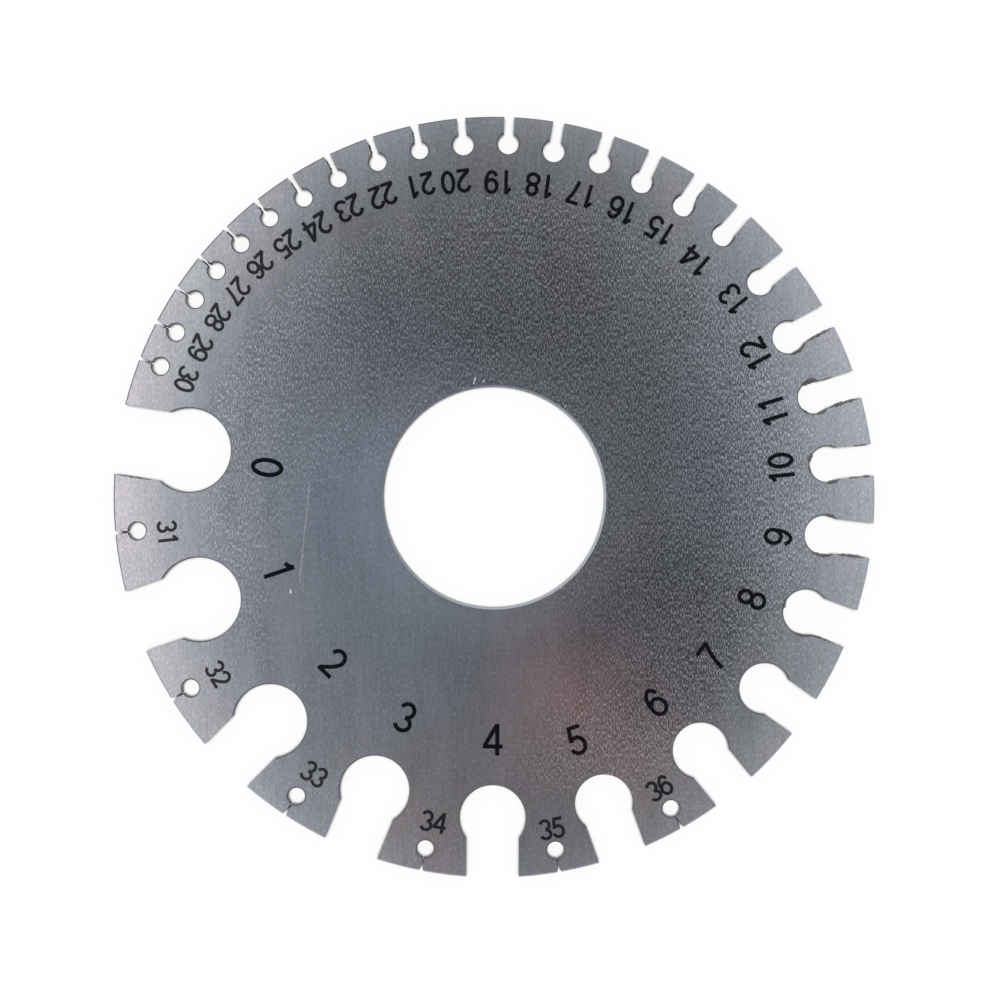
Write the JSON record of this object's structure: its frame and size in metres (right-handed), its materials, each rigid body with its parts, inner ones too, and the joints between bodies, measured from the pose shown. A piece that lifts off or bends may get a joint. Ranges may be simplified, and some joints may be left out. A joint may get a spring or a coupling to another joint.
{
  "type": "wire gauge plate",
  "caption": "Flat round steel gauge plate with a middle hole and graded keyhole slots round its rim, used to read the gauge of wire and sheet.",
  "frame": {"origin": "on the axis of the middle hole, in the plate's back face", "axes": "+Z along the hole's axis, out of the numbered face; +X and +Y are right and up as the plate is pictured"},
  "size_m": [0.086, 0.0859, 0.0016],
  "materials": {
    "plate_steel": "satin, fine grain",
    "number_ink": "matte black mark"
  },
  "bodies": {
    "root": {"gauge_plate": "plate_steel"}
  },
  "joints": []
}
